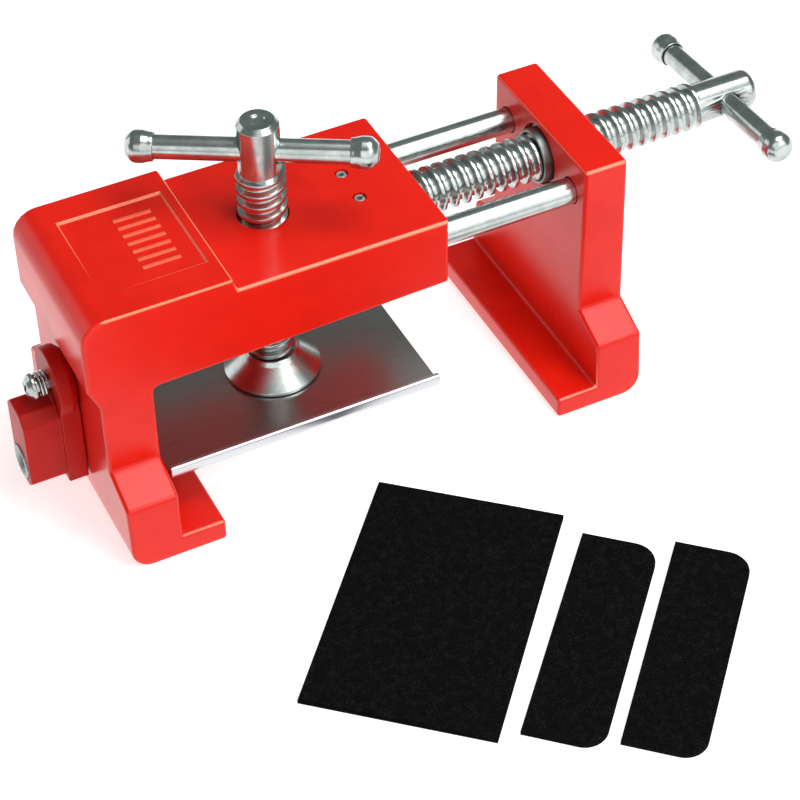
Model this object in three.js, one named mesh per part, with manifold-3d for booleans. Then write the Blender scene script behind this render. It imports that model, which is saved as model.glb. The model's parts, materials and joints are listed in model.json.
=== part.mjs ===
// Face-frame clamp: a cast body with a fixed jaw, a moving jaw on two guide rods and a captive screw,
// a pressure plate under a second screw, and a swing-away drill guide. Three loose pads lie in front.
// Millimetres, +Z up. X runs from the fixed jaw to the moving jaw, and the origin is on the surface that
// the feet stand on, in the middle of the width, below the fixed jaw's working face.

import * as THREE from 'three';
import { mergeVertices } from 'three/addons/utils/BufferGeometryUtils.js';
import Module from 'manifold-3d';

const wasm = await Module();
wasm.setup();

// Clearances
const GAP = 0.3;                  // between pieces that touch
const RUN = 0.35;                 // radial, round anything that turns or slides
const PAST = 1;                   // how far a cutter stands past what it cuts

// Fixed casting
const BODY_WIDTH = 55;
const BEAM_LENGTH = 92.2;         // from the fixed jaw's working face to the beam's end
const BEAM_TOP = 79.7;
const THROAT_HEIGHT = 54.5;       // underside of the beam at the fixed jaw
const BEAM_RISE = 2.5;            // how much higher the underside is at the beam's end
const THROAT_ROUND = 2;
const HEAD_BACK = 19;             // head's outer face behind the working face
const HEAD_FRONT = 27.4;          // end of the raised head on the beam
const HEAD_RISE = 4.3;
const HEAD_STEP_SLOPE = 1.6;
const HEAD_ROUND = 7.5;
const LEG_THICKNESS = 15.8;
const OVERHANG_HEIGHT = 60;       // lower edge of the head's outer face
const LEDGE_HEIGHT = 52.5;        // where the ledge under it meets the leg

// Feet of both jaws
const FOOT_WIDTH = 79;
const FOOT_HEIGHT = 22.6;
const FLARE_HEIGHT = 5.6;         // of the slope from the foot's width to the jaw's width
const TOE_LENGTH = 13.2;
const TOE_THICKNESS = 7;
const HEEL_ROUND = 6;
const FOOT_DRAFT = 1.2;           // how much further each side of a foot stands out at the bottom

// Badge recess on the head
const BADGE_LENGTH = 31;
const BADGE_WIDTH = 34;
const BADGE_DEPTH = 0.7;

// Moving jaw
const OPENING = 136.4;            // between the working faces at rest
const JAW_THICKNESS = 14;
const JAW_HEIGHT = 80.5;
const JAW_DRAFT = 1.6;            // how much thicker the jaw is at the bottom

// Guide rods
const ROD_DIAMETER = 8;
const ROD_SPACING = 38.4;
const ROD_LENGTH = 115;
const ROD_SEAT = 10.6;            // depth of the sockets in the moving jaw

// Screws
const SCREW_DROP = 11;            // axes of the main screw and the rods below the beam's top
const THREAD_DIAMETER = 14.5;
const HEAD_DIAMETER = 12.3;
const HEAD_BEVEL = 1.4;
const MAIN_THREAD_END = 189.4;
const MAIN_HEAD_LENGTH = 21;
const MAIN_BAR_INSET = 10.6;      // T-bar's axis from the head's outer end
const MAIN_BAR_TURN = THREE.MathUtils.degToRad(-4);
const COLLAR_LENGTH = 6;
const NECK_DIAMETER = 7.8;
const PIN_SETBACK = 17.9;         // roll pins behind the beam's end
const PIN_DIAMETER = 3.5;
const PIN_BORE = 1.6;
const PIN_SLOT = 0.6;
const PIN_LENGTH = 19;
const PRESSURE_AXIS = 46.8;       // pressure screw from the fixed jaw's working face
const PRESSURE_TOP = 112.6;
const PRESSURE_HEAD_LENGTH = 17.6;
const PRESSURE_BAR_INSET = 10.4;
const PRESSURE_BAR_TURN = THREE.MathUtils.degToRad(-30);
const PRESSURE_BAR_SHIFT = -1.9;  // how far the bar has slid in its hole

// T-bars
const BAR_DIAMETER = 7;
const BAR_LENGTH = 71;            // over both caps
const CAP_DIAMETER = 9.4;
const CAP_LENGTH = 8;
const CAP_SEAT = 5;
const CAP_ROUND = 2.2;

// Nut in the moving jaw
const NUT_WALL = 1.9;
const NUT_NOSE_WALL = 0.8;
const NUT_NOSE = 2.5;             // how far the nose stands out of the working face
const NUT_RECESS = 2;             // counterbore round the nose

// Pressure plate and swivel cup
const PLATE_SETBACK = 1.6;        // from the fixed jaw's working face
const PLATE_LENGTH = 86.4;
const PLATE_WIDTH = 60.4;
const PLATE_THICKNESS = 2;
const PLATE_HEIGHT = 19.2;        // underside at rest
const PLATE_LIP = 2.9;            // lips above the plate's upper face
const CUP_RIM_DIAMETER = 29.4;
const CUP_HUB_DIAMETER = 16.8;
const CUP_HEIGHT = 7.4;
const CUP_SHEET = 1.2;
const FOOT_FLANGE_DIAMETER = 11.8;
const FOOT_FLANGE_HEIGHT = 3.4;
const FOOT_NECK_DIAMETER = 8.4;

// Drill guide
const PIVOT_HEIGHT = 43.6;
const DRILL_HEIGHT = 16.7;
const GUIDE_THICKNESS = 6.2;
const GUIDE_ARM_WIDTH = 16;
const GUIDE_EYE_DIAMETER = 20.8;
const GUIDE_EYE_BACK_DIAMETER = 16.4;
const GUIDE_BOTTOM = 9.9;
const BLOCK_LENGTH = 11;
const BLOCK_WIDTH = 14;
const BLOCK_TOP = 38;
const BLOCK_BEVEL = 3;
const BUSH_DIAMETER = 10.5;
const BUSH_BORE = 6.5;
const BUSH_PROUD = 0.5;
const DRILL_HOLE = 8;
const GUIDE_SCREW_DIAMETER = 4.8;
const GUIDE_SCREW_DEPTH = 9;      // in the leg
const GUIDE_SCREW_HEAD = 8.2;
const GUIDE_SCREW_HEAD_HEIGHT = 2.5;
const SPRING_WIRE = 0.9;
const SPRING_DIAMETER = 7.2;      // over the middle of the wire
const SPRING_LENGTH = 3.6;
const SPRING_TURNS = 2.4;

// Loose pads
const PAD_THICKNESS = 1.8;
const PLATE_PAD_LENGTH = 85.6;
const PLATE_PAD_WIDTH = 56;
const PLATE_PAD_TURN = THREE.MathUtils.degToRad(48.8);
const JAW_PAD_LENGTH = 75.5;
const JAW_PAD_WIDTH = 22.8;
const JAW_PAD_ROUND = 7;
const JAW_PAD_TURN = THREE.MathUtils.degToRad(47.6);
const PLATE_PAD_SPACING = 6;      // from the plate's pad to the first jaw pad
const JAW_PAD_SPACING = 3.8;      // between the two jaw pads
const JAW_PAD_SHIFT = 3.8;        // how far the second lies along from the first
const PLATE_PAD_CENTRE = [54.6, -92];

// Roundness, in sides of a full circle
const SIDES = 32;
const SMALL_SIDES = 24;
const CORNER_STEPS = 5;

// Worked-out places
const HALF_BODY = BODY_WIDTH / 2;
const HALF_FOOT = FOOT_WIDTH / 2;
const HEAD_TOP = BEAM_TOP + HEAD_RISE;
const SCREW_HEIGHT = BEAM_TOP - SCREW_DROP;
const JAW_BACK = OPENING + JAW_THICKNESS;
const PIN_X = BEAM_LENGTH - PIN_SETBACK;
const PIN_Y = (NECK_DIAMETER + PIN_DIAMETER) / 2 + GAP + 0.1;
const PIN_TOP = BEAM_TOP - GAP;
const NECK_LENGTH = PIN_DIAMETER + 1;
const SCREW_START = PIN_X - NECK_LENGTH / 2 - COLLAR_LENGTH;
const MAIN_SCREW_END = MAIN_THREAD_END + MAIN_HEAD_LENGTH;
const MAIN_BAR_X = MAIN_SCREW_END - MAIN_BAR_INSET;
const NUT_BORE = THREAD_DIAMETER + 2 * RUN;
const NUT_DIAMETER = NUT_BORE + 2 * NUT_WALL;
const NUT_NOSE_DIAMETER = NUT_BORE + 2 * NUT_NOSE_WALL;
const ROD_END = OPENING + ROD_SEAT - GAP;
const ROD_START = ROD_END - ROD_LENGTH;
const ROD_CLOSED_START = ROD_START - (OPENING - BEAM_LENGTH) - GAP;
const PLATE_TOP = PLATE_HEIGHT + PLATE_THICKNESS;
const CUP_BOTTOM = PLATE_TOP + GAP;
const CUP_TOP = CUP_BOTTOM + CUP_HEIGHT;
const FOOT_FLANGE_BOTTOM = CUP_BOTTOM + GAP + 0.2;
const FOOT_FLANGE_TOP = FOOT_FLANGE_BOTTOM + FOOT_FLANGE_HEIGHT;
const THREAD_BOTTOM = CUP_TOP + 2 * GAP;
const PRESSURE_SHOULDER = PRESSURE_TOP - PRESSURE_HEAD_LENGTH;
const PRESSURE_BAR_HEIGHT = PRESSURE_TOP - PRESSURE_BAR_INSET;
const GUIDE_BACK = -LEG_THICKNESS - GAP;
const GUIDE_FRONT = GUIDE_BACK - GUIDE_THICKNESS;
const BLOCK_FACE = GUIDE_FRONT - BLOCK_LENGTH;
const SPRING_FRONT = GUIDE_FRONT - GAP - SPRING_LENGTH;
const SCREW_HEAD_SEAT = SPRING_FRONT - GAP;

// Finishes
const castRed = new THREE.MeshStandardMaterial({ color: 0xd8160e, roughness: 0.3, metalness: 0 });
const plated = new THREE.MeshStandardMaterial({ color: 0xc4c8c9, roughness: 0.2, metalness: 1 });
const brushed = new THREE.MeshStandardMaterial({ color: 0x8e9291, roughness: 0.4, metalness: 1 });
const dark = new THREE.MeshStandardMaterial({ color: 0x4a4d4f, roughness: 0.5, metalness: 1 });
const felt = new THREE.MeshStandardMaterial({ color: 0x0c0c0d, roughness: 1, metalness: 0 });

// ---- Helpers ----

// A closed geometry becomes a solid that can be cut and joined.
function solid(geometry) {
  geometry.deleteAttribute('normal');
  geometry.deleteAttribute('uv');
  const merged = mergeVertices(geometry, 1e-4);
  return new wasm.Manifold(new wasm.Mesh({
    numProp: 3,
    vertProperties: new Float32Array(merged.attributes.position.array),
    triVerts: new Uint32Array(merged.index.array),
  }));
}

function geometryOf(body) {
  const { numProp, vertProperties, triVerts } = body.getMesh();
  const position = new Float32Array(triVerts.length * 3);
  triVerts.forEach((vertex, corner) => {
    for (let axis = 0; axis < 3; axis += 1) {
      position[corner * 3 + axis] = vertProperties[vertex * numProp + axis];
    }
  });
  const geometry = new THREE.BufferGeometry();
  geometry.setAttribute('position', new THREE.BufferAttribute(position, 3));
  geometry.computeVertexNormals();
  return geometry;
}

function shapeOf(points) {
  return new THREE.Shape(points.map(([across, up]) => new THREE.Vector2(across, up)));
}

function extrusion(shape, depth, basis, offset) {
  const settings = { depth, bevelEnabled: false, curveSegments: CORNER_STEPS };
  const geometry = new THREE.ExtrudeGeometry(shape, settings);
  const matrix = new THREE.Matrix4().makeBasis(...basis.map((axis) => new THREE.Vector3(...axis)));
  geometry.applyMatrix4(matrix.setPosition(...offset));
  return solid(geometry);
}

// Outlines in X and Z, Y and Z, or X and Y, extruded square to their plane.
function alongY(points, width) {
  return extrusion(shapeOf(points), width, [[1, 0, 0], [0, 0, 1], [0, -1, 0]], [0, width / 2, 0]);
}

function alongX(points, from, to) {
  return extrusion(shapeOf(points), to - from, [[0, 1, 0], [0, 0, 1], [1, 0, 0]], [from, 0, 0]);
}

// Corner points of an arc round a centre, from one angle to another in degrees.
function arc(centreAcross, centreUp, radius, from, to) {
  return Array.from({ length: CORNER_STEPS + 1 }, (_, step) => {
    const angle = THREE.MathUtils.degToRad(from + (to - from) * step / CORNER_STEPS);
    return [centreAcross + radius * Math.cos(angle), centreUp + radius * Math.sin(angle)];
  });
}

// A turned solid. The profile is a list of [radius, place along the axis], rising along the axis on its
// outside, and it starts and ends on the axis or closes on itself.
function turned(profile, axis, centre, sides = SIDES) {
  const points = profile.map(([radius, along]) => new THREE.Vector2(radius, along));
  const geometry = new THREE.LatheGeometry(points, sides);
  if (axis === 'x') geometry.rotateZ(-Math.PI / 2);
  if (axis === 'z') geometry.rotateX(Math.PI / 2);
  geometry.translate(...centre);
  return solid(geometry);
}

function rod(diameter, from, to, axis, centre, sides = SIDES) {
  return turned([[0, from], [diameter / 2, from], [diameter / 2, to], [0, to]], axis, centre, sides);
}

function ring(outer, bore, from, to, axis, centre, sides = SIDES) {
  const profile = [[bore / 2, from], [outer / 2, from], [outer / 2, to], [bore / 2, to], [bore / 2, from]];
  return turned(profile, axis, centre, sides);
}

function block(low, high) {
  const size = high.map((value, axis) => value - low[axis]);
  const geometry = new THREE.BoxGeometry(...size);
  geometry.translate(...low.map((value, axis) => value + size[axis] / 2));
  return solid(geometry);
}

function add(name, body, material, parent) {
  const mesh = new THREE.Mesh(body.isBufferGeometry ? body : geometryOf(body), material);
  mesh.name = name;
  parent.add(mesh);
  return mesh;
}

const clamp = new THREE.Group();

// ---- Castings ----

// Outline across the width of a jaw: a wide foot that slopes in to the jaw's width.
function jawOutline(top) {
  const right = [
    [HALF_FOOT + FOOT_DRAFT, 0],
    [HALF_FOOT, FOOT_HEIGHT],
    [HALF_BODY, FOOT_HEIGHT + FLARE_HEIGHT],
    [HALF_BODY, top],
  ];
  const left = right.map(([across, up]) => [-across, up]).reverse();
  return [...right, ...left];
}

function fixedFoot() {
  const top = FOOT_HEIGHT + FLARE_HEIGHT + PAST;
  const side = alongY([
    ...arc(-LEG_THICKNESS + HEEL_ROUND, HEEL_ROUND, HEEL_ROUND, 180, 270),
    [TOE_LENGTH, 0],
    [TOE_LENGTH, TOE_THICKNESS],
    [0, TOE_THICKNESS],
    [0, top],
    [-LEG_THICKNESS, top],
  ], FOOT_WIDTH + 2 * (FOOT_DRAFT + PAST));
  return side.intersect(alongX(jawOutline(top), -LEG_THICKNESS - PAST, TOE_LENGTH + PAST));
}

function fixedBody() {
  const side = alongY([
    [-LEG_THICKNESS, FOOT_HEIGHT],
    [0, FOOT_HEIGHT],
    ...arc(THROAT_ROUND, THROAT_HEIGHT - THROAT_ROUND, THROAT_ROUND, 180, 90),
    [BEAM_LENGTH, THROAT_HEIGHT + BEAM_RISE],
    [BEAM_LENGTH, BEAM_TOP],
    [HEAD_FRONT, BEAM_TOP],
    [HEAD_FRONT - HEAD_STEP_SLOPE, HEAD_TOP],
    ...arc(-HEAD_BACK + HEAD_ROUND, HEAD_TOP - HEAD_ROUND, HEAD_ROUND, 90, 180),
    [-HEAD_BACK, OVERHANG_HEIGHT],
    [-LEG_THICKNESS, LEDGE_HEIGHT],
  ], BODY_WIDTH);
  const badgeMiddle = (HEAD_FRONT - HEAD_STEP_SLOPE - HEAD_BACK + HEAD_ROUND) / 2;
  const screwBore = THREAD_DIAMETER + 2 * RUN;
  let body = side.add(fixedFoot());
  for (const sideways of [-1, 1]) {
    const rodCentre = [0, sideways * ROD_SPACING / 2, SCREW_HEIGHT];
    const rodBore = ROD_DIAMETER + 2 * RUN;
    body = body.subtract(rod(rodBore, ROD_CLOSED_START - GAP, BEAM_LENGTH + PAST, 'x', rodCentre));
    const pinHole = PIN_DIAMETER + 2 * GAP;
    const pinCentre = [PIN_X, sideways * PIN_Y, 0];
    body = body.subtract(rod(pinHole, PIN_TOP - PIN_LENGTH - GAP, BEAM_TOP + PAST, 'z', pinCentre, SMALL_SIDES));
  }
  return body
    .subtract(rod(screwBore, SCREW_START - 1, BEAM_LENGTH + PAST, 'x', [0, 0, SCREW_HEIGHT]))
    .subtract(rod(screwBore, THROAT_HEIGHT - PAST, BEAM_TOP + PAST, 'z', [PRESSURE_AXIS, 0, 0]))
    .subtract(rod(DRILL_HOLE, -LEG_THICKNESS - PAST, PAST, 'x', [0, 0, DRILL_HEIGHT], SMALL_SIDES))
    .subtract(rod(GUIDE_SCREW_DIAMETER + 2 * GAP, -LEG_THICKNESS - PAST, -LEG_THICKNESS + GUIDE_SCREW_DEPTH,
      'x', [0, 0, PIVOT_HEIGHT], SMALL_SIDES))
    .subtract(block(
      [badgeMiddle - BADGE_LENGTH / 2, -BADGE_WIDTH / 2, HEAD_TOP - BADGE_DEPTH],
      [badgeMiddle + BADGE_LENGTH / 2, BADGE_WIDTH / 2, HEAD_TOP + PAST],
    ));
}

function movingJaw() {
  const side = alongY([
    [OPENING - TOE_LENGTH, 0],
    ...arc(JAW_BACK + JAW_DRAFT - HEEL_ROUND, HEEL_ROUND, HEEL_ROUND, 270, 360),
    [JAW_BACK, JAW_HEIGHT],
    [OPENING, JAW_HEIGHT],
    [OPENING, TOE_THICKNESS],
    [OPENING - TOE_LENGTH, TOE_THICKNESS],
  ], FOOT_WIDTH + 2 * (FOOT_DRAFT + PAST));
  const outline = jawOutline(JAW_HEIGHT + PAST);
  const across = alongX(outline, OPENING - TOE_LENGTH - PAST, JAW_BACK + JAW_DRAFT + PAST);
  let jaw = side.intersect(across);
  for (const sideways of [-1, 1]) {
    const centre = [0, sideways * ROD_SPACING / 2, SCREW_HEIGHT];
    jaw = jaw.subtract(rod(ROD_DIAMETER + 2 * GAP, OPENING - PAST, OPENING + ROD_SEAT, 'x', centre));
  }
  const axis = [0, 0, SCREW_HEIGHT];
  const bore = NUT_DIAMETER + 2 * GAP;
  return jaw.subtract(rod(bore, OPENING - PAST, JAW_BACK + JAW_DRAFT, 'x', axis));
}

add('fixed_body', fixedBody(), castRed, clamp);
add('moving_jaw', movingJaw(), castRed, clamp);

// ---- Guide rods, nut and main screw ----

for (const [name, sideways] of [['guide_rod_front', -1], ['guide_rod_back', 1]]) {
  const centre = [0, sideways * ROD_SPACING / 2, SCREW_HEIGHT];
  add(name, rod(ROD_DIAMETER, ROD_START, ROD_END, 'x', centre), plated, clamp);
}

function jawNut() {
  const bore = NUT_BORE / 2;
  return turned([
    [bore, OPENING - NUT_NOSE],
    [NUT_NOSE_DIAMETER / 2, OPENING - NUT_NOSE],
    [NUT_NOSE_DIAMETER / 2, OPENING + NUT_RECESS],
    [NUT_DIAMETER / 2, OPENING + NUT_RECESS],
    [NUT_DIAMETER / 2, JAW_BACK],
    [bore, JAW_BACK],
    [bore, OPENING - NUT_NOSE],
  ], 'x', [0, 0, SCREW_HEIGHT]);
}

add('jaw_nut', jawNut(), plated, clamp);

function barHole(centre, direction) {
  const length = HEAD_DIAMETER + 2 * PAST;
  const radius = BAR_DIAMETER / 2 + RUN;
  const geometry = new THREE.CylinderGeometry(radius, radius, length, SMALL_SIDES);
  geometry.applyQuaternion(new THREE.Quaternion().setFromUnitVectors(new THREE.Vector3(0, 1, 0), direction));
  geometry.translate(...centre);
  return solid(geometry);
}

const MAIN_BAR_DIRECTION = new THREE.Vector3(0, Math.cos(MAIN_BAR_TURN), Math.sin(MAIN_BAR_TURN));
const PRESSURE_BAR_DIRECTION = new THREE.Vector3(Math.cos(PRESSURE_BAR_TURN), Math.sin(PRESSURE_BAR_TURN), 0);

function mainScrew() {
  const thread = THREAD_DIAMETER / 2;
  const head = HEAD_DIAMETER / 2;
  const neckStart = SCREW_START + COLLAR_LENGTH;
  const body = turned([
    [0, SCREW_START],
    [thread - 1, SCREW_START],
    [thread, SCREW_START + 1],
    [thread, neckStart],
    [NECK_DIAMETER / 2, neckStart],
    [NECK_DIAMETER / 2, neckStart + NECK_LENGTH],
    [thread, neckStart + NECK_LENGTH],
    [thread, MAIN_THREAD_END],
    [head, MAIN_THREAD_END],
    [head, MAIN_SCREW_END - 2 * HEAD_BEVEL],
    [head - HEAD_BEVEL / 2, MAIN_SCREW_END - HEAD_BEVEL / 2],
    [head - 2 * HEAD_BEVEL, MAIN_SCREW_END],
    [0, MAIN_SCREW_END],
  ], 'x', [0, 0, SCREW_HEIGHT]);
  return body.subtract(barHole([MAIN_BAR_X, 0, SCREW_HEIGHT], MAIN_BAR_DIRECTION));
}

add('main_screw', mainScrew(), plated, clamp);

for (const [name, sideways] of [['screw_pin_front', -1], ['screw_pin_back', 1]]) {
  const centre = [PIN_X, sideways * PIN_Y, 0];
  const tube = ring(PIN_DIAMETER, PIN_BORE, PIN_TOP - PIN_LENGTH, PIN_TOP, 'z', centre, SMALL_SIDES);
  const slot = block(
    [PIN_X, centre[1] - PIN_SLOT / 2, PIN_TOP - PIN_LENGTH - PAST],
    [PIN_X + PIN_DIAMETER, centre[1] + PIN_SLOT / 2, PIN_TOP + PAST],
  );
  add(name, tube.subtract(slot), dark, clamp);
}

// ---- T-bars ----

// A sliding bar with a cap on each end, made along X round its own middle.
function tBar(name, capNames, centre, direction) {
  const bar = new THREE.Group();
  bar.position.set(...centre);
  bar.quaternion.setFromUnitVectors(new THREE.Vector3(1, 0, 0), direction);
  const end = BAR_LENGTH / 2;
  const barEnd = end - CAP_LENGTH + CAP_SEAT - GAP;
  add(name, rod(BAR_DIAMETER, -barEnd, barEnd, 'x', [0, 0, 0], SMALL_SIDES), plated, bar);
  const socket = BAR_DIAMETER / 2 + GAP;
  const outer = CAP_DIAMETER / 2;
  const cap = turned([
    [0, end - CAP_LENGTH + CAP_SEAT],
    [socket, end - CAP_LENGTH + CAP_SEAT],
    [socket, end - CAP_LENGTH],
    [outer - 0.6, end - CAP_LENGTH],
    [outer, end - CAP_LENGTH + 0.6],
    [outer, end - CAP_ROUND],
    [outer - CAP_ROUND * 0.3, end - CAP_ROUND * 0.3],
    [outer - CAP_ROUND, end],
    [0, end],
  ], 'x', [0, 0, 0], SMALL_SIDES);
  const capGeometry = geometryOf(cap);
  add(capNames[1], capGeometry, plated, bar);
  add(capNames[0], capGeometry.clone(), plated, bar).rotation.z = Math.PI;
  clamp.add(bar);
}

tBar('main_t_bar', ['main_t_bar_cap_front', 'main_t_bar_cap_back'],
  [MAIN_BAR_X, 0, SCREW_HEIGHT], MAIN_BAR_DIRECTION);
tBar('pressure_t_bar', ['pressure_t_bar_cap_left', 'pressure_t_bar_cap_right'], [
  PRESSURE_AXIS + PRESSURE_BAR_SHIFT * PRESSURE_BAR_DIRECTION.x,
  PRESSURE_BAR_SHIFT * PRESSURE_BAR_DIRECTION.y,
  PRESSURE_BAR_HEIGHT,
], PRESSURE_BAR_DIRECTION);

// ---- Pressure screw, cup and plate ----

function pressureScrew() {
  const thread = THREAD_DIAMETER / 2;
  const head = HEAD_DIAMETER / 2;
  const body = turned([
    [0, FOOT_FLANGE_BOTTOM],
    [FOOT_FLANGE_DIAMETER / 2, FOOT_FLANGE_BOTTOM],
    [FOOT_FLANGE_DIAMETER / 2, FOOT_FLANGE_TOP],
    [FOOT_NECK_DIAMETER / 2, FOOT_FLANGE_TOP],
    [FOOT_NECK_DIAMETER / 2, THREAD_BOTTOM],
    [thread, THREAD_BOTTOM],
    [thread, PRESSURE_SHOULDER],
    [head, PRESSURE_SHOULDER],
    [head, PRESSURE_TOP - HEAD_BEVEL],
    [head - HEAD_BEVEL, PRESSURE_TOP],
    [0, PRESSURE_TOP],
  ], 'z', [PRESSURE_AXIS, 0, 0]);
  return body.subtract(barHole([PRESSURE_AXIS, 0, PRESSURE_BAR_HEIGHT], PRESSURE_BAR_DIRECTION));
}

add('pressure_screw', pressureScrew(), plated, clamp);

function swivelCup() {
  const mouth = FOOT_NECK_DIAMETER / 2 + RUN;
  const cavity = FOOT_FLANGE_DIAMETER / 2 + RUN;
  const cavityTop = FOOT_FLANGE_TOP + GAP;
  return turned([
    [cavity, CUP_BOTTOM],
    [CUP_RIM_DIAMETER / 2, CUP_BOTTOM],
    [CUP_RIM_DIAMETER / 2, CUP_BOTTOM + CUP_SHEET],
    [CUP_HUB_DIAMETER / 2, CUP_TOP - CUP_SHEET],
    [CUP_HUB_DIAMETER / 2 - CUP_SHEET, CUP_TOP],
    [mouth, CUP_TOP],
    [mouth, cavityTop],
    [cavity, cavityTop],
    [cavity, CUP_BOTTOM],
  ], 'z', [PRESSURE_AXIS, 0, 0]);
}

add('swivel_cup', swivelCup(), plated, clamp);

function pressurePlate() {
  const half = PLATE_WIDTH / 2;
  const inner = half - PLATE_THICKNESS;
  const lipTop = PLATE_TOP + PLATE_LIP;
  return alongX([
    [-half, PLATE_HEIGHT], [half, PLATE_HEIGHT], [half, lipTop], [inner, lipTop],
    [inner, PLATE_TOP], [-inner, PLATE_TOP], [-inner, lipTop], [-half, lipTop],
  ], PLATE_SETBACK, PLATE_SETBACK + PLATE_LENGTH);
}

add('pressure_plate', pressurePlate(), brushed, clamp);

// ---- Drill guide ----

function drillGuide() {
  const pivot = [0, 0, PIVOT_HEIGHT];
  const bevelled = (GUIDE_EYE_DIAMETER - GUIDE_EYE_BACK_DIAMETER) / 2;
  const eye = turned([
    [0, GUIDE_FRONT],
    [GUIDE_EYE_DIAMETER / 2, GUIDE_FRONT],
    [GUIDE_EYE_DIAMETER / 2, GUIDE_BACK - bevelled],
    [GUIDE_EYE_BACK_DIAMETER / 2, GUIDE_BACK],
    [0, GUIDE_BACK],
  ], 'x', pivot);
  const half = GUIDE_ARM_WIDTH / 2;
  const arm = block([GUIDE_FRONT, -half, GUIDE_BOTTOM], [GUIDE_BACK, half, PIVOT_HEIGHT]);
  const wide = BLOCK_WIDTH / 2;
  const boss = alongX([
    [-wide + BLOCK_BEVEL, GUIDE_BOTTOM],
    [wide - BLOCK_BEVEL, GUIDE_BOTTOM],
    [wide, GUIDE_BOTTOM + BLOCK_BEVEL],
    [wide, BLOCK_TOP - BLOCK_BEVEL],
    [wide - BLOCK_BEVEL, BLOCK_TOP],
    [-wide + BLOCK_BEVEL, BLOCK_TOP],
    [-wide, BLOCK_TOP - BLOCK_BEVEL],
    [-wide, GUIDE_BOTTOM + BLOCK_BEVEL],
  ], BLOCK_FACE, GUIDE_FRONT + PAST);
  const bushCentre = [0, 0, DRILL_HEIGHT];
  return eye.add(arm).add(boss)
    .subtract(rod(GUIDE_SCREW_DIAMETER + 2 * RUN, GUIDE_FRONT - PAST, GUIDE_BACK + PAST, 'x', pivot, SMALL_SIDES))
    .subtract(rod(BUSH_DIAMETER + 2 * GAP, BLOCK_FACE - PAST, GUIDE_FRONT, 'x', bushCentre))
    .subtract(rod(DRILL_HOLE, GUIDE_FRONT - PAST, GUIDE_BACK + PAST, 'x', bushCentre, SMALL_SIDES));
}

add('drill_guide', drillGuide(), castRed, clamp);
add('drill_bush', ring(BUSH_DIAMETER, BUSH_BORE, BLOCK_FACE - BUSH_PROUD, GUIDE_FRONT - GAP, 'x',
  [0, 0, DRILL_HEIGHT], SMALL_SIDES), dark, clamp);

function guideScrew() {
  const head = GUIDE_SCREW_HEAD / 2;
  const shank = GUIDE_SCREW_DIAMETER / 2;
  const top = SCREW_HEAD_SEAT - GUIDE_SCREW_HEAD_HEIGHT;
  return turned([
    [0, top],
    [head * 0.6, top],
    [head, top + GUIDE_SCREW_HEAD_HEIGHT * 0.6],
    [head, SCREW_HEAD_SEAT],
    [shank, SCREW_HEAD_SEAT],
    [shank, -LEG_THICKNESS + GUIDE_SCREW_DEPTH - GAP],
    [0, -LEG_THICKNESS + GUIDE_SCREW_DEPTH - GAP],
  ], 'x', [0, 0, PIVOT_HEIGHT], SMALL_SIDES);
}

add('guide_screw', guideScrew(), plated, clamp);

function guideSpring() {
  const steps = 12;
  const reach = SPRING_LENGTH - SPRING_WIRE;
  const turns = Array.from({ length: Math.round(SPRING_TURNS * steps) + 1 }, (_, step) => {
    const angle = 2 * Math.PI * step / steps;
    return new THREE.Vector3(
      SPRING_FRONT + SPRING_WIRE / 2 + reach * step / (SPRING_TURNS * steps),
      SPRING_DIAMETER / 2 * Math.cos(angle),
      PIVOT_HEIGHT + SPRING_DIAMETER / 2 * Math.sin(angle),
    );
  });
  const path = new THREE.CatmullRomCurve3(turns);
  const wire = new THREE.Shape();
  wire.absarc(0, 0, SPRING_WIRE / 2, 0, 2 * Math.PI, false);
  const settings = { steps: turns.length * 2, curveSegments: 6, extrudePath: path };
  return solid(new THREE.ExtrudeGeometry(wire, settings));
}

add('guide_spring', guideSpring(), plated, clamp);

// ---- Loose pads ----

// A thin sheet flat on the surface, made round its own middle and turned into place.
function pad(name, outline, centre, turn) {
  const settings = { depth: PAD_THICKNESS, bevelEnabled: false, curveSegments: 6 };
  const shape = new THREE.ExtrudeGeometry(outline, settings);
  const mesh = add(name, solid(shape), felt, clamp);
  mesh.position.set(centre[0], centre[1], 0);
  mesh.rotation.z = turn;
}

function jawPadOutline() {
  const along = JAW_PAD_LENGTH / 2;
  const across = JAW_PAD_WIDTH / 2;
  const round = JAW_PAD_ROUND;
  const outline = new THREE.Shape();
  outline.moveTo(-along, across);
  outline.lineTo(-along, -across + round);
  outline.absarc(-along + round, -across + round, round, Math.PI, 1.5 * Math.PI, false);
  outline.absarc(along - round, -across + round, round, -0.5 * Math.PI, 0, false);
  outline.lineTo(along, across);
  return outline;
}

const firstAcross = (PLATE_PAD_WIDTH + JAW_PAD_WIDTH) / 2 + PLATE_PAD_SPACING;
const secondAcross = firstAcross + JAW_PAD_WIDTH + JAW_PAD_SPACING;

// A jaw pad's centre, from distances across and along the pads from the plate pad's centre.
function jawPadCentre(across, along) {
  return [
    PLATE_PAD_CENTRE[0] + Math.sin(JAW_PAD_TURN) * across + Math.cos(JAW_PAD_TURN) * along,
    PLATE_PAD_CENTRE[1] - Math.cos(JAW_PAD_TURN) * across + Math.sin(JAW_PAD_TURN) * along,
  ];
}

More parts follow.
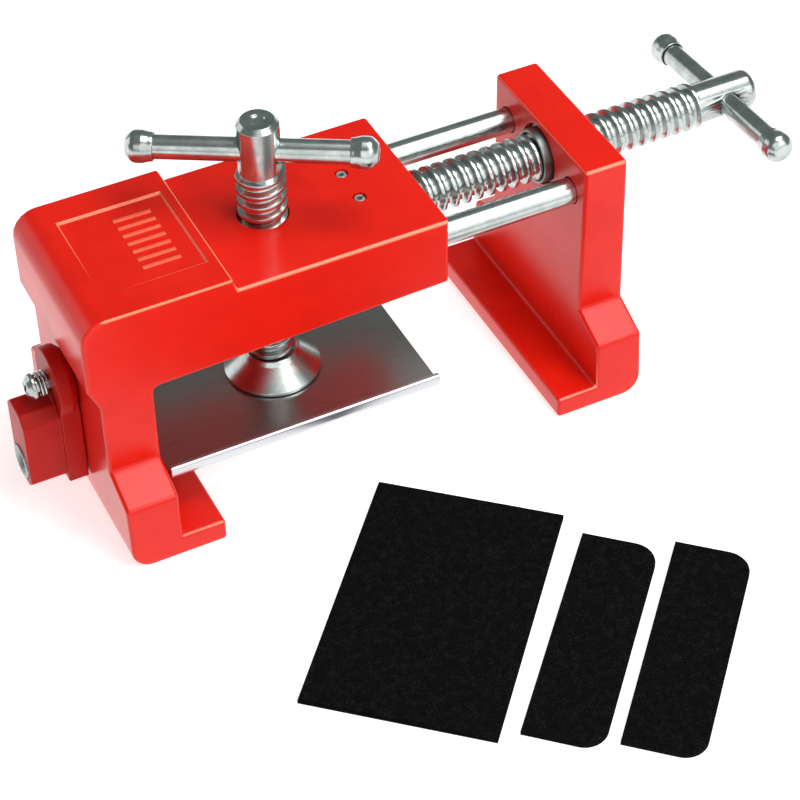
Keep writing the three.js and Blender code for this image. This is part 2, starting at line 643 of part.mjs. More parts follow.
pad('plate_pad', shapeOf([
  [-PLATE_PAD_LENGTH / 2, -PLATE_PAD_WIDTH / 2], [PLATE_PAD_LENGTH / 2, -PLATE_PAD_WIDTH / 2],
  [PLATE_PAD_LENGTH / 2, PLATE_PAD_WIDTH / 2], [-PLATE_PAD_LENGTH / 2, PLATE_PAD_WIDTH / 2],
]), PLATE_PAD_CENTRE, PLATE_PAD_TURN);
pad('fixed_jaw_pad', jawPadOutline(), jawPadCentre(firstAcross, 0), JAW_PAD_TURN);
pad('moving_jaw_pad', jawPadOutline(), jawPadCentre(secondAcross, JAW_PAD_SHIFT), JAW_PAD_TURN);

export default clamp;
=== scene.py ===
"""Looks of a cabinet face-frame clamp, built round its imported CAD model.

Each sub-assembly is a class that builds its own meshes and dresses them. Lengths are written in
millimetres and turned into metres by the Shape class. Axes are the frame's: X from the fixed jaw to the
moving jaw, Y across the width, Z up.
"""

from __future__ import annotations

import json
import logging
import math
from collections.abc import Callable, Iterable, Sequence
from dataclasses import dataclass, field
from enum import Enum
from typing import ClassVar

import bmesh
import bpy
from mathutils import Matrix, Vector, noise

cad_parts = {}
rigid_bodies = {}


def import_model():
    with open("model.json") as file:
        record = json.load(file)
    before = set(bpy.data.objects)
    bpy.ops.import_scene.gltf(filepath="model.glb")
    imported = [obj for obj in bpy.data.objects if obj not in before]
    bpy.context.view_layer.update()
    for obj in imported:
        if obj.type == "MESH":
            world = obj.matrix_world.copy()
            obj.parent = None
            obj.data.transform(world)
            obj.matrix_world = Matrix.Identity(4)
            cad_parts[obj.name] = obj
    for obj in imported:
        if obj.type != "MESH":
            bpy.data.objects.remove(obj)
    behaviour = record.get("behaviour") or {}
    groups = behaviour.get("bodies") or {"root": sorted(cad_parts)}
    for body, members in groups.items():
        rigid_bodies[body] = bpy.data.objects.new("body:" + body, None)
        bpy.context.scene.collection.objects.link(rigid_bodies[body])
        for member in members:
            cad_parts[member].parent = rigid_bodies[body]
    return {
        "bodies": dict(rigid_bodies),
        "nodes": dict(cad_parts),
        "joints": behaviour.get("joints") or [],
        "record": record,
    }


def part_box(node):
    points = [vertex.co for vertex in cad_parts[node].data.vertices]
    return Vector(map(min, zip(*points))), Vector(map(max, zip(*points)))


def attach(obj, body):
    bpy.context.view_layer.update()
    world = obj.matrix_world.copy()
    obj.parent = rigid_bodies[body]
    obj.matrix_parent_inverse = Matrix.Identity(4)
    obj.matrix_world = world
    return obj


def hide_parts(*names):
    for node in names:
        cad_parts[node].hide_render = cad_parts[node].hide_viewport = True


LOG = logging.getLogger("clamp")
MM = 0.001
Corner = tuple[float, float, float]
Colour = tuple[float, float, float]
Tint = Colour | bpy.types.NodeSocket
# The point attribute that carries painted light: a lighter tint for highlights on edges and ribs, and a
# bright tint for the plate lips' reflection.
PAINTED_HIGHLIGHT = "painted_highlight"


class Axis(Enum):
    """A frame axis that a turned piece can have."""

    X = "x"
    Z = "z"

    def turn(self) -> Matrix:
        """Returns: the rotation that takes the Z axis to this one."""
        return Matrix.Rotation(math.pi / 2 if self is Axis.X else 0.0, 4, "Y")


# ---- Shader maths and nodes ----


class Maths:
    """A number in a shader, which adds a Math node for each sum it takes part in."""

    def __init__(self, shader: Shader, socket: bpy.types.NodeSocket) -> None:
        """Wraps the output socket of a node in a shader."""
        self.shader = shader
        self.socket = socket

    def __add__(self, other: Maths | float) -> Maths:
        """Returns: this number plus another."""
        return self.shader.maths("ADD", self, other)

    __radd__ = __add__

    def __mul__(self, other: Maths | float) -> Maths:
        """Returns: this number times another."""
        return self.shader.maths("MULTIPLY", self, other)

    __rmul__ = __mul__

    def step(self, low: float, high: float) -> Maths:
        """Rises smoothly from 0 to 1 between two levels.

        Args:
            low: the level where the result starts to rise.
            high: the level where it reaches 1.

        Returns:
            The smooth step.
        """
        made = self.shader.node(
            "ShaderNodeMapRange",
            {"interpolation_type": "SMOOTHSTEP"},
            {"Value": self, "From Min": low, "From Max": high},
        )
        return Maths(self.shader, made.outputs["Result"])


class Shader:
    """A material's node tree with one Principled shader, and the one method that makes its nodes."""

    def __init__(self, name: str) -> None:
        """Starts an empty material.

        Args:
            name: the material's name.
        """
        self.material = bpy.data.materials.new(name)
        self.material.use_nodes = True
        self.tree = self.material.node_tree
        self.tree.nodes.clear()
        self.surface = self.node("ShaderNodeBsdfPrincipled")
        self.output = self.node("ShaderNodeOutputMaterial", {}, {"Surface": self.surface.outputs["BSDF"]})
        self.place = self.node("ShaderNodeTexCoord").outputs["Object"]

    def node(
        self,
        kind: str,
        settings: dict[str, object] | None = None,
        sockets: dict[str | int, object] | None = None,
    ) -> bpy.types.Node:
        """Makes one node.

        Args:
            kind: the node's type.
            settings: the node's own properties, which are set first.
            sockets: values or links for its inputs, by name or number.

        Returns:
            The node.
        """
        made = self.tree.nodes.new(kind)
        for name, value in (settings or {}).items():
            setattr(made, name, value)
        for key, value in (sockets or {}).items():
            self.feed(made.inputs[key], value)
        return made

    def feed(self, target: bpy.types.NodeSocket, value: object) -> None:
        """Links or sets an input.

        Args:
            target: the input.
            value: a Maths number, an output socket or a plain value.
        """
        if isinstance(value, Maths):
            value = value.socket
        if isinstance(value, bpy.types.NodeSocket):
            self.tree.links.new(value, target)
        else:
            target.default_value = value

    def maths(self, operation: str, *terms: Maths | float) -> Maths:
        """Returns: the result of a Math node, given its operation and terms."""
        made = self.node("ShaderNodeMath", {"operation": operation}, dict(enumerate(terms)))
        return Maths(self, made.outputs["Value"])

    def grain(self, size: float | Sequence[float], detail: float = 2.0) -> Maths:
        """A noise pattern that is fixed to the piece.

        Args:
            size: the size of its features in millimetres, one for all axes or one for each.
            detail: how many finer layers it has.

        Returns:
            A number from 0 to 1.
        """
        sizes = [size] * 3 if isinstance(size, (int, float)) else size
        scaled = self.node(
            "ShaderNodeMapping", {}, {"Vector": self.place, "Scale": [1 / (each * MM) for each in sizes]}
        )
        made = self.node(
            "ShaderNodeTexNoise", {}, {"Vector": scaled.outputs["Vector"], "Scale": 1.0, "Detail": detail}
        )
        return Maths(self, made.outputs["Fac"])

    def blend(self, share: Maths, first: Tint, second: Tint) -> bpy.types.NodeSocket:
        """Mixes two colours.

        Args:
            share: how much of the second colour there is.
            first: the colour at 0, or its socket.
            second: the colour at 1, or its socket.

        Returns:
            The mixed colour's socket.
        """
        tints = [(*tint, 1.0) if isinstance(tint, tuple) else tint for tint in (first, second)]
        made = self.node("ShaderNodeMix", {"data_type": "RGBA"}, {"Factor": share, 6: tints[0], 7: tints[1]})
        return made.outputs[2]

    def painted_highlight(self) -> Maths:
        """Returns: how much painted highlight the surface has, as it is written on the piece's points."""
        made = self.node("ShaderNodeAttribute", {"attribute_name": PAINTED_HIGHLIGHT})
        return Maths(self, made.outputs["Fac"])

    def dress(self, **inputs: object) -> None:
        """Feeds the Principled shader's sockets, named with underscores for spaces."""
        for name, value in inputs.items():
            self.feed(self.surface.inputs[name.replace("_", " ")], value)

    def bump(self, height: Maths, depth: float) -> None:
        """Raises the surface's shading by a pattern, whose 1 is so many millimetres deep."""
        made = self.node(
            "ShaderNodeBump", {}, {"Height": height, "Distance": depth * MM, "Strength": 1.0}
        )
        self.dress(Normal=made.outputs["Normal"])


# ---- Finishes ----


@dataclass(frozen=True)
class Enamel:
    """Glossy baked enamel over a smooth casting, with a painted highlight, a lighter tint, along the edges
    that are marked for it.
    """

    colour: Colour = (0.8, 0.0125, 0.0035)
    thin_colour: Colour = (0.75, 0.01, 0.003)
    highlight_colour: Colour = (1.0, 0.3, 0.16)
    roughness: float = 0.24
    gloss: float = 0.36
    peel_size: float = 1.5
    peel_depth: float = 0.01
    patch_size: float = 14.0
    highlight_breakup_size: float = 1.2
    slot: ClassVar[str] = "cast_red"

    def material(self) -> bpy.types.Material:
        """Makes the enamel.

        Returns:
            Its material.
        """
        shader = Shader("baked_red_enamel")
        patches = shader.grain(self.patch_size, 3.0)
        highlight_breakup = shader.grain(self.highlight_breakup_size, 3.0)
        peel = shader.grain(self.peel_size, 1.0)
        # Painted highlight: a lighter tint along the marked rounded edges, where they catch the light, broken
        # up by noise.
        painted_highlight = shader.painted_highlight().step(0.1, 0.8) * (0.65 + 0.5 * highlight_breakup)
        paint = shader.blend(patches.step(0.35, 0.65), self.colour, self.thin_colour)
        shader.dress(
            Base_Color=shader.blend(painted_highlight, paint, self.highlight_colour),
            Roughness=self.roughness + 0.05 * patches + 0.1 * painted_highlight,
            Specular_IOR_Level=self.gloss,
        )
        shader.bump(peel, self.peel_depth)
        return shader.material


@dataclass(frozen=True)
class Metal:
    """Metal with softly clouded colour and faint marks. Its own values make bright zinc plating."""

    name: str = "bright_zinc"
    colour: Colour = (0.62, 0.66, 0.645)
    other_colour: Colour = (0.46, 0.5, 0.485)
    cloud_size: float = 5.0
    cloud_band: tuple[float, float] = (0.3, 0.7)
    metallic: float = 1.0
    roughness: float = 0.19
    roughness_spread: float = 0.08
    mark_size: float = 0.4
    mark_detail: float = 2.0
    mark_depth: float = 0.003
    slot: str = "plated_steel"

    def material(self) -> bpy.types.Material:
        """Makes the metal.

        Returns:
            Its material.
        """
        shader = Shader(self.name)
        clouds = shader.grain(self.cloud_size, 3.0)
        marks = shader.grain(self.mark_size, self.mark_detail)
        shader.dress(
            Base_Color=shader.blend(clouds.step(*self.cloud_band), self.colour, self.other_colour),
            Metallic=self.metallic,
            Roughness=self.roughness + self.roughness_spread * clouds,
        )
        shader.bump(marks, self.mark_depth)
        return shader.material


BLACKENED_STEEL = Metal(
    "blackened_steel", (0.36, 0.4, 0.38), (0.56, 0.6, 0.58), cloud_size=1.6, cloud_band=(0.45, 0.75),
    metallic=0.55, roughness=0.42, roughness_spread=0.1, mark_size=1.6, mark_detail=3.0, mark_depth=0.01,
    slot="dark_steel",
)
DULL_ZINC = Metal("dull_zinc", (0.36, 0.39, 0.38), (0.24, 0.27, 0.26), roughness=0.36)


@dataclass(frozen=True)
class BrushedSheet:
    """Plated steel sheet, brushed along its length, with a painted reflection, a bright tint, where it is
    marked for it.
    """

    colour: Colour = (0.42, 0.44, 0.435)
    streak_colour: Colour = (0.36, 0.38, 0.375)
    lip_reflection_colour: Colour = (0.73, 0.74, 0.765)
    roughness: float = 0.24
    streak_size: tuple[float, float, float] = (12.0, 0.25, 0.25)
    cloud_size: float = 9.0
    streak_depth: float = 0.0012
    slot: ClassVar[str] = "brushed_plate"

    def material(self) -> bpy.types.Material:
        """Makes the sheet.

        Returns:
            Its material.
        """
        shader = Shader("brushed_steel_sheet")
        streaks = shader.grain(self.streak_size, 2.0)
        clouds = shader.grain(self.cloud_size, 3.0)
        brushed = shader.blend(streaks.step(0.35, 0.65), self.colour, self.streak_colour)
        shader.dress(
            # Painted reflection: the lips' outer faces are tinted bright, as they would mirror the pale
            # floor.
            Base_Color=shader.blend(shader.painted_highlight(), brushed, self.lip_reflection_colour),
            Metallic=1.0,
            Roughness=self.roughness + 0.06 * streaks + 0.08 * clouds,
        )
        shader.bump(streaks, self.streak_depth)
        return shader.material


@dataclass(frozen=True)
class Felt:
    """Dense black felt with a short, matted nap."""

    colour: Colour = (0.0025, 0.0028, 0.0027)
    fleck_colour: Colour = (0.012, 0.013, 0.0125)
    fibre_size: float = 0.55
    tuft_size: float = 2.4
    nap_depth: float = 0.35
    slot: ClassVar[str] = "black_felt"

    def material(self) -> bpy.types.Material:
        """Makes the felt.

        Returns:
            Its material.
        """
        shader = Shader("matted_black_felt")
        fibres = shader.grain(self.fibre_size, 4.0)
        tufts = shader.grain(self.tuft_size, 3.0)
        nap = 0.65 * fibres + 0.35 * tufts
        shader.dress(
            Base_Color=shader.blend(nap.step(0.45, 0.72), self.colour, self.fleck_colour),
            Roughness=0.96,
            Specular_IOR_Level=0.06,
        )
        shader.bump(nap, self.nap_depth)
        return shader.material


# ---- Shapes ----


def rounded(corners: Sequence[Corner], steps: int = 5) -> list[Vector]:
    """An open outline with its corners rounded.

    Args:
        corners: each corner's two coordinates and its radius; the two ends aren't rounded.
        steps: segments in each rounded corner.

    Returns:
        The outline's points.
    """
    points = [Vector(corner[:2]) for corner in corners]
    outline = [points[0]]
    for before, corner, after, spec in zip(points, points[1:], points[2:], corners[1:]):
        radius = spec[2]
        to_before, to_after = before - corner, after - corner
        half = to_before.angle(to_after) / 2
        reach = min(radius / math.tan(half), 0.49 * to_before.length, 0.49 * to_after.length)
        radius = reach * math.tan(half)
        if radius < 1e-4:
            outline.append(corner)
            continue
        start = corner + to_before.normalized() * reach
        end = corner + to_after.normalized() * reach
        inward = (to_before.normalized() + to_after.normalized()).normalized()
        middle = corner + inward * radius / math.sin(half)
        for step in range(steps + 1):
            spoke = (start - middle).normalized().slerp((end - middle).normalized(), step / steps)
            outline.append(middle + spoke * radius)
    outline.append(points[-1])
    return outline


@dataclass
class Shape:
    """A mesh under construction. Its lengths are millimetres until it becomes an object."""

    mesh: bmesh.types.BMesh = field(default_factory=bmesh.new)

    @classmethod
    def of_node(cls, node: bpy.types.Object) -> Shape:
        """Copies a CAD node's mesh, with its loose triangles joined into flat faces.

        Args:
            node: the node.

        Returns:
            The copy.
        """
        made = cls()
        made.mesh.from_mesh(node.data)
        bmesh.ops.scale(made.mesh, vec=Vector((1 / MM,) * 3), verts=made.mesh.verts)
        bmesh.ops.remove_doubles(made.mesh, verts=made.mesh.verts, dist=0.003)
        bmesh.ops.dissolve_limit(
            made.mesh, angle_limit=math.radians(0.6), verts=made.mesh.verts, edges=made.mesh.edges
        )
        return made

    @classmethod
    def turned(cls, outline: Iterable[Vector], axis: Axis, centre: Sequence[float], steps: int = 56) -> Shape:
        """Turns an outline of radius and place along the axis.

        Args:
            outline: the points, from one end of the axis to the other, or round a closed section.
            axis: the axis that it turns about.
            centre: a point on that axis, from which places along it count.
            steps: segments round the piece.

        Returns:
            The turned shape.
        """
        made = cls()
        made.draw(outline)
        made.spin(2 * math.pi, steps, merge=True)
        made.close()
        return made.moved(Matrix.Translation(Vector(centre)) @ axis.turn())

    def parts(self) -> list[bmesh.types.BMVert | bmesh.types.BMEdge | bmesh.types.BMFace]:
        """Returns: every point, edge and face."""
        return [*self.mesh.verts, *self.mesh.edges, *self.mesh.faces]

    def draw(self, outline: Iterable[Vector]) -> None:
        """Draws an open line in the XZ plane.

        Args:
            outline: its points, with Z as the second coordinate.
        """
        points = [self.mesh.verts.new((point.x, 0, point.y)) for point in outline]
        for first, second in zip(points, points[1:]):
            self.mesh.edges.new((first, second))

    def spin(self, angle: float, steps: int, rise: float = 0.0, merge: bool = False) -> None:
        """Spins the shape about the Z axis.

        Args:
            angle: the whole turn.
            steps: segments in it.
            rise: how far each segment climbs.
            merge: whether the last segment joins the first.
        """
        bmesh.ops.spin(
            self.mesh, geom=self.parts(), cent=(0, 0, 0), axis=(0, 0, 1), dvec=(0, 0, rise),
            angle=angle, steps=steps, use_merge=merge, use_duplicate=False,
        )

    def trim(self, place: Sequence[float], outward: Sequence[float]) -> None:
        """Cuts the shape off at a plane, given a point on it and the direction in which everything goes."""
        bmesh.ops.bisect_plane(
            self.mesh, geom=self.parts(), dist=0.0005, plane_co=place, plane_no=outward,
            clear_outer=True, clear_inner=False,
        )

    def close(self) -> None:
        """Joins doubled points and turns every face outwards."""
        bmesh.ops.remove_doubles(self.mesh, verts=self.mesh.verts, dist=0.001)
        bmesh.ops.recalc_face_normals(self.mesh, faces=self.mesh.faces)

    def moved(self, matrix: Matrix) -> Shape:
        """Returns: the same shape, moved by a matrix."""
        bmesh.ops.transform(self.mesh, matrix=matrix, verts=self.mesh.verts)
        return self

    def rims(self) -> list[list[bmesh.types.BMEdge]]:
        """Finds the open edges at both ends of a tube along Z.

        Returns:
            The lower rim and the upper rim.
        """
        open_edges = [edge for edge in self.mesh.edges if edge.is_boundary]
        middle = sum(edge.verts[0].co.z for edge in open_edges) / max(len(open_edges), 1)
        lower = [edge for edge in open_edges if edge.verts[0].co.z < middle]
        return [lower, [edge for edge in open_edges if edge not in lower]]

    def extend(self, rim: list[bmesh.types.BMEdge], outline: Iterable[Vector]) -> None:
        """Grows a tube along Z from one of its rims, through circles, to a closed end.

        Args:
            rim: the open edges.
            outline: the radius and height of each circle; the last one is filled.
        """
        for point in outline:
            grown = bmesh.ops.extrude_edge_only(self.mesh, edges=rim)["geom"]
            rim = [part for part in grown if isinstance(part, bmesh.types.BMEdge)]
            for vertex in {vertex for edge in rim for vertex in edge.verts}:
                spoke = vertex.co.xy.normalized() * point.x
                vertex.co = (spoke.x, spoke.y, point.y)
        bmesh.ops.contextual_create(self.mesh, geom=rim)

    def bevel(self, edges: list[bmesh.types.BMEdge], radius: float, segments: int = 3) -> None:
        """Rounds edges.

        Args:
            edges: the edges.
            radius: the rounding in millimetres.
            segments: steps across it.
        """
        bmesh.ops.bevel(
            self.mesh, geom=edges, offset=radius, offset_type="OFFSET", affect="EDGES",
            segments=segments, profile=0.5, material=-1, clamp_overlap=True,
        )

    def sharp_edges(self, degrees: float = 30.0) -> list[bmesh.types.BMEdge]:
        """Returns: the edges where faces meet at more than an angle in degrees."""
        limit = math.radians(degrees)
        return [edge for edge in self.mesh.edges if edge.is_manifold and edge.calc_face_angle(0) > limit]

    def object(self, name: str) -> bpy.types.Object:
        """Makes an object at the origin, smooth but for its sharp edges.

        Args:
            name: the object's name.

        Returns:
            The object.
        """
        bmesh.ops.scale(self.mesh, vec=Vector((MM,) * 3), verts=self.mesh.verts)
        for edge in self.sharp_edges(40.0):
            edge.smooth = False
        for face in self.mesh.faces:
            face.smooth = True
        data = bpy.data.meshes.new(name)
        self.mesh.to_mesh(data)
        self.mesh.free()
        made = bpy.data.objects.new(name, data)
        bpy.context.scene.collection.objects.link(made)
        return made


def settle(piece: bpy.types.Object) -> None:
    """Applies a piece's modifiers to its mesh.

    Args:
        piece: the piece.
    """
    graph = bpy.context.evaluated_depsgraph_get()
    data = bpy.data.meshes.new_from_object(piece.evaluated_get(graph))
    piece.modifiers.clear()
    piece.data = data


def even_shading(piece: bpy.types.Object) -> None:
    """Keeps flat faces flat next to rounded ones.

    Args:
        piece: the piece.
    """
    modifier = piece.modifiers.new("even_shading", "WEIGHTED_NORMAL")
    modifier.keep_sharp = True
    modifier.weight = 60


@dataclass
class Workshop:
    """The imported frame, with the finish and the body of each CAD node."""

    frame: dict
    finishes: dict[str, bpy.types.Material] = field(default_factory=dict)
    bodies: dict[str, str] = field(default_factory=dict)
    slots: dict[str, str] = field(default_factory=dict)

    def __post_init__(self) -> None:
        """Reads the record and makes every finish once."""
        record = self.frame["record"]
        for body, nodes in record["behaviour"]["bodies"].items():
            self.bodies.update(dict.fromkeys(nodes, body))
        self.slots = {part["node"]: part["material_slot"] for part in record["subparts"]}
        for finish in (Enamel(), Metal(), BrushedSheet(), BLACKENED_STEEL, Felt()):
            self.finishes[finish.slot] = finish.material()

    def place(
        self,
        piece: bpy.types.Object,
        node: str,
        finish: bpy.types.Material | None = None,
        added: bool = False,
    ) -> None:
        """Dresses a piece and puts it on a CAD node's body, in the node's stead.

        Args:
            piece: the finished piece.
            node: the CAD node.
            finish: its material, if it isn't the usual one of its slot.
            added: whether it is one more piece, which stands in no node's stead.
        """
        slot = self.slots[node]
        piece.data.materials.clear()
        piece.data.materials.append(finish or self.finishes[slot])
        even_shading(piece)
        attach(piece, self.bodies[node])
        if not added:
            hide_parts(node)
        LOG.info("%s: %s, on %s", piece.name, node, self.bodies[node])

    def span(self, node: str) -> tuple[Vector, Vector, Vector]:
        """Returns: the lowest corner, highest corner and middle of a CAD node's box, in millimetres."""
        low, high = (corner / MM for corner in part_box(node))
        return low, high, (low + high) / 2


@dataclass
class Assembly:
    """Pieces that are built together, in the workshop that dresses and places them."""

    shop: Workshop


# ---- Castings ----


@dataclass(frozen=True)
class Rounding:
    """A radius for the edges that lie wholly inside a box, in millimetres."""

    radius: float
    low: tuple[float, float, float]
    high: tuple[float, float, float]

    def holds(self, edge: bmesh.types.BMEdge) -> bool:
        """Returns: whether both ends of an edge lie in the box."""
        return all(
            low <= value <= high
            for vertex in edge.verts
            for low, value, high in zip(self.low, vertex.co, self.high)
        )


@dataclass(frozen=True)
class Bore:
    """A round hole whose rim stays crisp."""

    axis: Axis
    centre: Vector
    radius: float

    def holds(self, edge: bmesh.types.BMEdge) -> bool:
        """Tells whether an edge lies on the hole's wall.

        Args:
            edge: the edge.

        Returns:
            Whether both its ends do.
        """
        along = self.axis.turn() @ Vector((0, 0, 1))
        for vertex in edge.verts:
            reach = vertex.co - self.centre
            if abs((reach - reach.project(along)).length - self.radius) > 0.12:
                return False
        return True


def paint_highlight(piece: bpy.types.Object, share_at: Callable[[bpy.types.MeshVertex], float]) -> None:
    """Writes how much painted highlight each point of a piece has, from 0 upwards.

    Args:
        piece: the piece.
        share_at: gives the painted highlight of a point.
    """
    marks = piece.data.attributes.new(PAINTED_HIGHLIGHT, "FLOAT", "POINT")
    for vertex, mark in zip(piece.data.vertices, marks.data):
        mark.value = share_at(vertex)


@dataclass
class Casting(Assembly):
    """A casting, rounded from its CAD node's own faces."""

    node: str
    name: str
    edge_radius: float
    roundings: tuple[Rounding, ...] = ()
    bores: tuple[Bore, ...] = ()
    # Boxes of the edges that get a painted highlight, a lighter tint along their rounding.
    painted_highlight: tuple[Rounding, ...] = ()
    enamel: Enamel | None = None
    widest: float = 3.0
    highlight_gain: float = 1.7
    least_reach: float = 0.3
    edge_angle: float = 25.0

    def radius_of(self, edge: bmesh.types.BMEdge) -> float:
        """Finds an edge's rounding.

        Args:
            edge: the edge.

        Returns:
            The radius in millimetres, 0 where the edge stays sharp.
        """
        if any(bore.holds(edge) for bore in self.bores):
            return 0.0
        radius = self.edge_radius
        for rounding in self.roundings:
            if rounding.holds(edge):
                radius = rounding.radius
        return radius

    def highlight_edges(self, shape: Shape) -> list[tuple[Vector, Vector, float]]:
        """Returns: the ends and the reach, in millimetres, of each edge that gets a painted highlight."""
        return [
            (edge.verts[0].co.copy(), edge.verts[1].co.copy(), max(mark.radius, self.least_reach))
            for edge in shape.sharp_edges(self.edge_angle)
            for mark in self.painted_highlight
            if mark.holds(edge)
        ]

    def mark_highlight(self, piece: bpy.types.Object, edges: list[tuple[Vector, Vector, float]]) -> None:
        """Marks the painted highlight on the roundings of the highlighted edges, and leaves out the points of
        the wide faces.

        Args:
            piece: the rounded casting.
            edges: the highlighted edges.
        """
        wide = self.wide_points(piece)

        def share_at(vertex: bpy.types.MeshVertex) -> float:
            """Finds the painted highlight of a point, from the highlighted edge that is closest to it.

            Args:
                vertex: the point.

            Returns:
                The painted highlight, from 0 upwards.
            """
            if vertex.index in wide:
                return 0.0
            place, highlight_level = vertex.co / MM, 0.0
            for start, end, reach in edges:
                share = min(max((place - start).dot(end - start) / (end - start).length_squared, 0.0), 1.0)
                highlight_level = max(highlight_level, self.highlight_gain * (1 - (place - start.lerp(end, share)).length / reach))
            return highlight_level

        paint_highlight(piece, share_at)

    def wide_points(self, piece: bpy.types.Object, widest: float = 0.8) -> set[int]:
        """Finds the points of the faces that are wider than a rounding's own.

        Args:
            piece: the rounded casting.
            widest: the greatest width of a rounding's face in millimetres.

        Returns:
            The points' numbers.
        """
        found: set[int] = set()
        points = piece.data.vertices
        for face in piece.data.polygons:
            longest = max((points[first].co - points[second].co).length for first, second in face.edge_keys)
            if face.area / longest > widest * MM:
                found.update(face.vertices)
        return found

    def build(self) -> None:
        """Rounds the casting and puts it in place."""
        shape = Shape.of_node(self.shop.frame["nodes"][self.node])
        painted_highlight = self.highlight_edges(shape)
        weights = shape.mesh.edges.layers.float.new("bevel_weight_edge")
        for edge in shape.sharp_edges(self.edge_angle):
            edge[weights] = self.radius_of(edge) / self.widest
        piece = shape.object(self.name)
        for edge in piece.data.edges:
            if piece.data.attributes["bevel_weight_edge"].data[edge.index].value > 0:
                edge.use_edge_sharp = False
        modifier = piece.modifiers.new("rounding", "BEVEL")
        modifier.limit_method = "WEIGHT"
        modifier.width = self.widest * MM
        modifier.segments = 4
        modifier.use_clamp_overlap = False
        settle(piece)
        self.mark_highlight(piece, painted_highlight)
        self.shop.place(piece, self.node, self.enamel.material() if self.enamel else None)


@dataclass
class RibbedPanel(Assembly):
    """A row of plain raised ribs in the head's recess."""

    count: int = 7
    spacing: float = 3.7
    width: float = 1.3
    length: float = 11.5
    rise: float = 0.5
    recess: float = 0.7
    # The level of the ribs' painted highlight.
    rib_highlight: float = 0.42
    middle_x: float = 11.6
    rounding: float = 0.3
    host: str = "fixed_body"

    def build(self) -> None:
        """Raises the ribs from the recess's floor."""
        floor = self.shop.span(self.host)[1].z - self.recess
        shape = Shape()
        for number in range(self.count):
            across = (number - (self.count - 1) / 2) * self.spacing
            made = bmesh.ops.create_cube(shape.mesh, size=1.0)["verts"]
            bmesh.ops.scale(shape.mesh, vec=Vector((self.length, self.width, 2 * self.rise)), verts=made)
            bmesh.ops.translate(shape.mesh, vec=(self.middle_x, across, floor), verts=made)
        shape.bevel(shape.sharp_edges(60.0), self.rounding, 3)
        piece = shape.object("head_ribs")
        # Painted highlight: the ribs get an even lighter tint that picks them out.
        paint_highlight(piece, lambda _: self.rib_highlight)
        self.shop.place(piece, self.host, added=True)


# ---- Screws, rods and bars ----


@dataclass(frozen=True)
class Thread:
    """A rounded, right-handed screw thread."""

    diameter: float = 14.5
    depth: float = 1.7
    pitch: float = 4.0
    crest: float = 0.75
    turn_steps: int = 32
    profile_steps: int = 12

    def radius_at(self, share: float) -> float:
        """Returns: the radius at a share of one pitch from a crest."""
        wave = max(-1.0, min(1.0, math.cos(2 * math.pi * share) / self.crest))
        return self.diameter / 2 - self.depth * (0.5 - 0.25 * wave * (3 - wave * wave))

    def tube(self, start: float, end: float) -> Shape:
        """Spins the thread along Z and cuts it square at both ends.

        Args:
            start: the lower end.
            end: the upper end.

        Returns:
            The threaded tube, open at both ends.
        """
        shape = Shape()
        turns = math.ceil((end - start) / self.pitch) + 3
        lowest = start - 1.5 * self.pitch
        shares = [step / self.profile_steps for step in range(self.profile_steps + 1)]
        shape.draw(Vector((self.radius_at(share), lowest + share * self.pitch)) for share in shares)
        shape.spin(2 * math.pi * turns, turns * self.turn_steps, self.pitch / self.turn_steps)
        bmesh.ops.remove_doubles(shape.mesh, verts=shape.mesh.verts, dist=0.01)
        shape.trim((0, 0, start), (0, 0, -1))
        shape.trim((0, 0, end), (0, 0, 1))
        return shape

    def shaft(
        self, start: float, end: float, lower: Sequence[Corner], upper: Sequence[Corner], steps: int
    ) -> Shape:
        """Makes a whole screw along Z, from a thread and the plain parts at its ends.

        Args:
            start: the thread's lower end.
            end: the thread's upper end.
            lower: the outline from the thread downwards.
            upper: the outline from the thread upwards.
            steps: segments in each rounded corner of the upper outline.

        Returns:
            The closed screw.
        """
        shape = self.tube(start, end)
        for rim, outline in zip(shape.rims(), (rounded(lower), rounded(upper, steps))):
            shape.extend(rim, outline)
        shape.close()
        return shape


def cut(piece: bpy.types.Object, cutter: bpy.types.Object) -> None:
    """Cuts one object out of another, and removes the cutter.

    Args:
        piece: the object that is cut.
        cutter: the object that goes.
    """
    modifier = piece.modifiers.new("cut", "BOOLEAN")
    modifier.operation = "DIFFERENCE"
    modifier.solver = "EXACT"
    modifier.object = cutter
    settle(piece)
    bpy.data.objects.remove(cutter)


def bar_place(direction: Vector, centre: Vector) -> Matrix:
    """Returns: the move that takes a piece along Z to a bar's direction and place."""
    return Matrix.Translation(centre) @ direction.to_track_quat("Z", "Y").to_matrix().to_4x4()


